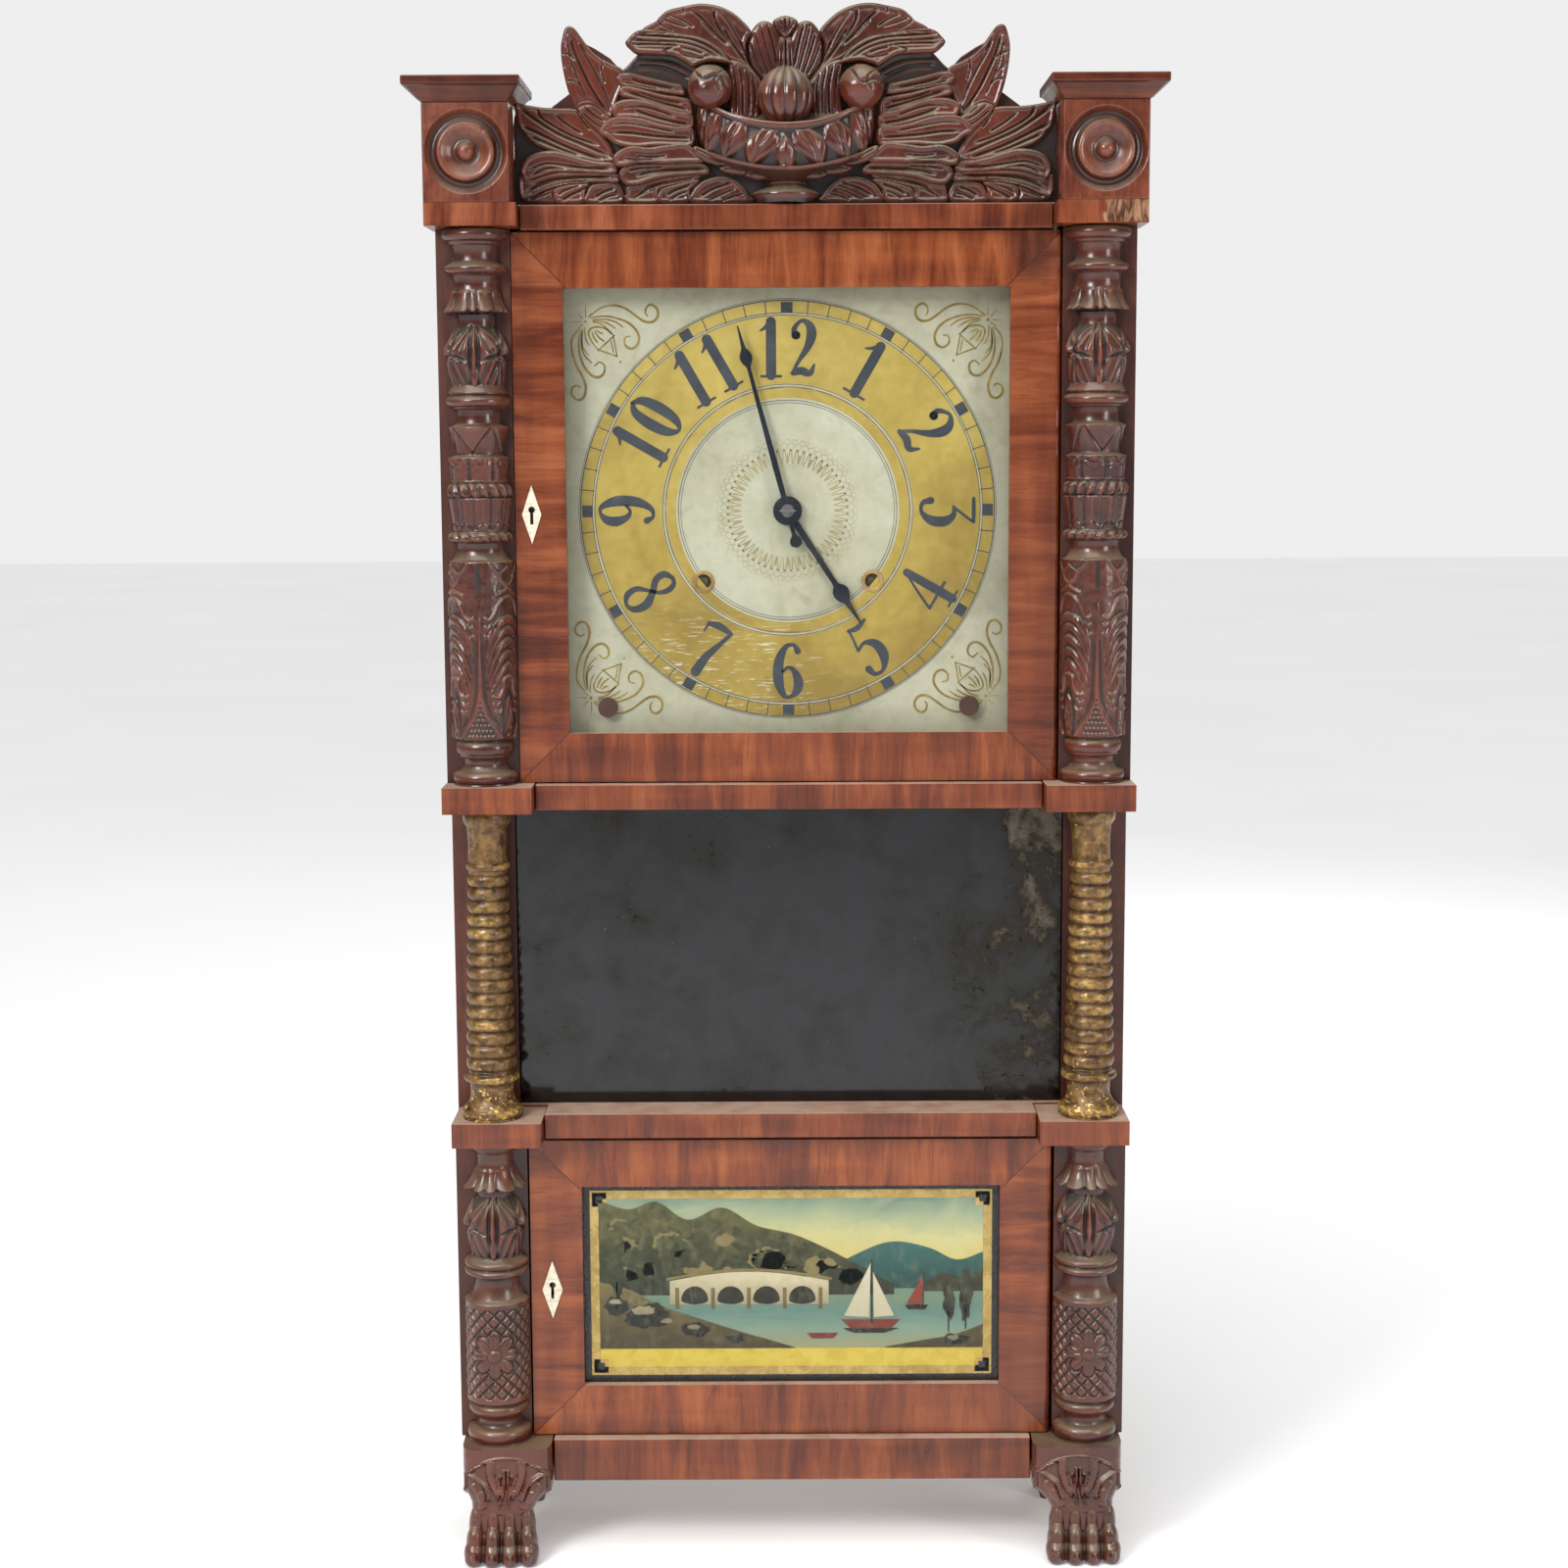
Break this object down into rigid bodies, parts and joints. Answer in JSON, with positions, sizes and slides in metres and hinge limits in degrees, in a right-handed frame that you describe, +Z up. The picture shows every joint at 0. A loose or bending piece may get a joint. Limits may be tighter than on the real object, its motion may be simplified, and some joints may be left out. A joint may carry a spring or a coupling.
{
  "type": "triple decker shelf clock",
  "caption": "Tall weight-driven shelf clock case in three tiers, with carved and turned columns, mirror, glazed dial door, painted glass door, paw feet and a carved crest.",
  "frame": {"origin": "middle of the overall width and depth, on the surface that the feet stand on", "axes": "+Z up, front faces -Y, +X to the right seen from the front"},
  "size_m": [0.4526, 0.152, 0.968],
  "materials": {
    "mahogany_veneer": "shellac polish, worn",
    "dark_mahogany": "darkened polish",
    "carved_mahogany": "dark gloss varnish with dust",
    "case_board": "bare aged pine, stained outside",
    "gilt_bronze_paint": "worn bronzed gilding on turned wood",
    "dial_paint": "aged oil paint",
    "mirror": "tarnished silvered glass",
    "glass": "clear old glass",
    "painted_glass": "reverse painted glass",
    "bone": "satin bone",
    "brass": "dull cast brass",
    "steel": "aged steel",
    "hand_steel": "blued, darkened steel",
    "cast_iron": "rough cast iron"
  },
  "bodies": {
    "case": {"side_boards": "case_board", "back_board": "case_board", "top_board": "case_board", "bottom_board": "case_board", "movement_supports": "case_board", "mirror_backboard": "case_board", "rear_feet": "case_board", "front_stiles": "dark_mahogany", "front_rails": "mahogany_veneer", "column_blocks": "mahogany_veneer", "corner_blocks": "mahogany_veneer", "corner_caps": "mahogany_veneer", "crest_board": "carved_mahogany", "crest_carving": "carved_mahogany", "upper_columns": "carved_mahogany", "lower_columns": "carved_mahogany", "front_feet": "carved_mahogany", "middle_columns": "gilt_bronze_paint", "mirror_glass": "mirror", "dial_board": "dial_paint", "dial_buttons": "carved_mahogany", "winding_grommets": "brass", "front_plate": "brass", "back_plate": "brass", "hinge_pins": "steel", "gong": "steel", "pulley_brackets": "steel"},
    "upper_door": {"upper_door_frame": "mahogany_veneer", "upper_door_glass": "glass", "upper_escutcheon": "bone", "upper_lock_case": "steel"},
    "upper_lock_bolt": {"upper_lock_bolt": "steel"},
    "lower_door": {"lower_door_frame": "mahogany_veneer", "lower_door_tablet": "painted_glass", "lower_escutcheon": "bone", "lower_lock_case": "steel"},
    "lower_lock_bolt": {"lower_lock_bolt": "steel"},
    "time_barrel": {"time_barrel": "brass"},
    "time_great_wheel": {"time_great_wheel": "brass"},
    "second_wheel": {"second_wheel": "brass"},
    "centre_wheel": {"centre_wheel": "brass"},
    "third_wheel": {"third_wheel": "brass"},
    "escape_wheel": {"escape_wheel": "brass"},
    "pendulum": {"verge": "steel", "pendulum": "brass"},
    "minute_hand": {"centre_arbor": "steel", "minute_hand": "hand_steel"},
    "minute_wheel": {"minute_wheel": "brass"},
    "hour_hand": {"hour_wheel": "brass", "hour_hand": "hand_steel"},
    "strike_barrel": {"strike_barrel": "brass"},
    "strike_great_wheel": {"strike_great_wheel": "brass"},
    "pin_wheel": {"pin_wheel": "brass"},
    "locking_wheel": {"locking_wheel": "brass"},
    "fly": {"fly": "brass"},
    "hammer": {"hammer": "steel"},
    "left_pulley": {"left_pulley": "brass"},
    "right_pulley": {"right_pulley": "brass"},
    "time_weight": {"time_weight": "cast_iron"},
    "strike_weight": {"strike_weight": "cast_iron"}
  },
  "joints": [
    {"name": "upper_door_hinge", "type": "hinge", "parent": "case", "child": "upper_door", "pos_m": [0.163, -0.0355, 0.668], "axis": [0, 0, 1], "range_deg": [0, 90]},
    {"name": "upper_lock", "type": "slide", "parent": "upper_door", "child": "upper_lock_bolt", "axis": [-1, 0, 0], "range_m": [0, 0.005]},
    {"name": "lower_door_hinge", "type": "hinge", "parent": "case", "child": "lower_door", "pos_m": [0.163, -0.0355, 0.174], "axis": [0, 0, 1], "range_deg": [0, 90]},
    {"name": "lower_lock", "type": "slide", "parent": "lower_door", "child": "lower_lock_bolt", "axis": [-1, 0, 0], "range_m": [0, 0.005]},
    {"name": "minute_hand_turn", "type": "hinge", "parent": "case", "child": "minute_hand", "pos_m": [0, 0, 0.6676], "axis": [0, 1, 0], "continuous": true},
    {"name": "minute_wheel_turn", "type": "hinge", "parent": "case", "child": "minute_wheel", "pos_m": [-0.01697, 0, 0.65063], "axis": [0, 1, 0], "continuous": true},
    {"name": "hour_hand_turn", "type": "hinge", "parent": "case", "child": "hour_hand", "pos_m": [0, 0, 0.6676], "axis": [0, 1, 0], "continuous": true},
    {"name": "third_wheel_turn", "type": "hinge", "parent": "case", "child": "third_wheel", "pos_m": [0.0135, 0, 0.69098], "axis": [0, 1, 0], "continuous": true},
    {"name": "centre_wheel_turn", "type": "hinge", "parent": "case", "child": "centre_wheel", "pos_m": [0, 0, 0.6676], "axis": [0, 1, 0], "continuous": true},
    {"name": "second_wheel_turn", "type": "hinge", "parent": "case", "child": "second_wheel", "pos_m": [0.02538, 0, 0.65839], "axis": [0, 1, 0], "continuous": true},
    {"name": "time_great_wheel_turn", "type": "hinge", "parent": "case", "child": "time_great_wheel", "pos_m": [0.0526, 0, 0.6238], "axis": [0, 1, 0], "continuous": true},
    {"name": "escape_wheel_turn", "type": "hinge", "parent": "case", "child": "escape_wheel", "pos_m": [0, 0, 0.71059], "axis": [0, 1, 0], "continuous": true},
    {"name": "pendulum_swing", "type": "hinge", "parent": "case", "child": "pendulum", "pos_m": [0, 0, 0.7396], "axis": [0, 1, 0], "range_deg": [-3, 3]},
    {"name": "locking_wheel_turn", "type": "hinge", "parent": "case", "child": "locking_wheel", "pos_m": [-0.0456, 0, 0.69207], "axis": [0, 1, 0], "continuous": true},
    {"name": "pin_wheel_turn", "type": "hinge", "parent": "case", "child": "pin_wheel", "pos_m": [-0.0426, 0, 0.66665], "axis": [0, 1, 0], "continuous": true},
    {"name": "strike_great_wheel_turn", "type": "hinge", "parent": "case", "child": "strike_great_wheel", "pos_m": [-0.0526, 0, 0.6238], "axis": [0, 1, 0], "continuous": true},
    {"name": "fly_turn", "type": "hinge", "parent": "case", "child": "fly", "pos_m": [-0.0376, 0, 0.70958], "axis": [0, 1, 0], "continuous": true},
    {"name": "hammer_swing", "type": "hinge", "parent": "case", "child": "hammer", "pos_m": [-0.084, 0, 0.6836], "axis": [0, 1, 0], "range_deg": [0, 5]},
    {"name": "time_weight_rise", "type": "slide", "parent": "case", "child": "time_weight", "axis": [0, 0, 1], "range_m": [0, 0.5]},
    {"name": "strike_weight_rise", "type": "slide", "parent": "case", "child": "strike_weight", "axis": [0, 0, 1], "range_m": [0, 0.5]},
    {"name": "time_barrel_wind", "type": "hinge", "parent": "case", "child": "time_barrel", "pos_m": [0.0526, 0, 0.6238], "axis": [0, 1, 0], "range_deg": [0, 1849.3]},
    {"name": "strike_barrel_wind", "type": "hinge", "parent": "case", "child": "strike_barrel", "pos_m": [-0.0526, 0, 0.6238], "axis": [0, 1, 0], "range_deg": [-1849.3, 0]},
    {"name": "right_pulley_turn", "type": "hinge", "parent": "case", "child": "right_pulley", "pos_m": [0.1545, 0.031, 0.815], "axis": [0, 1, 0], "continuous": true},
    {"name": "left_pulley_turn", "type": "hinge", "parent": "case", "child": "left_pulley", "pos_m": [-0.1545, 0.031, 0.815], "axis": [0, 1, 0], "continuous": true}
  ],
  "couplings": [
    {"joint": "minute_wheel_turn", "follows": "minute_hand_turn", "ratio": -0.33333},
    {"joint": "hour_hand_turn", "follows": "minute_hand_turn", "ratio": 0.083333},
    {"joint": "centre_wheel_turn", "follows": "third_wheel_turn", "ratio": -0.125},
    {"joint": "second_wheel_turn", "follows": "third_wheel_turn", "ratio": 0.03125},
    {"joint": "time_great_wheel_turn", "follows": "third_wheel_turn", "ratio": -0.0034722},
    {"joint": "escape_wheel_turn", "follows": "third_wheel_turn", "ratio": -7.5},
    {"joint": "pin_wheel_turn", "follows": "locking_wheel_turn", "ratio": -0.14286},
    {"joint": "strike_great_wheel_turn", "follows": "locking_wheel_turn", "ratio": 0.015873},
    {"joint": "fly_turn", "follows": "locking_wheel_turn", "ratio": -6.8571},
    {"joint": "time_barrel_wind", "follows": "time_weight_rise", "rad_per_m": 64.516},
    {"joint": "strike_barrel_wind", "follows": "strike_weight_rise", "rad_per_m": -64.516}
  ]
}
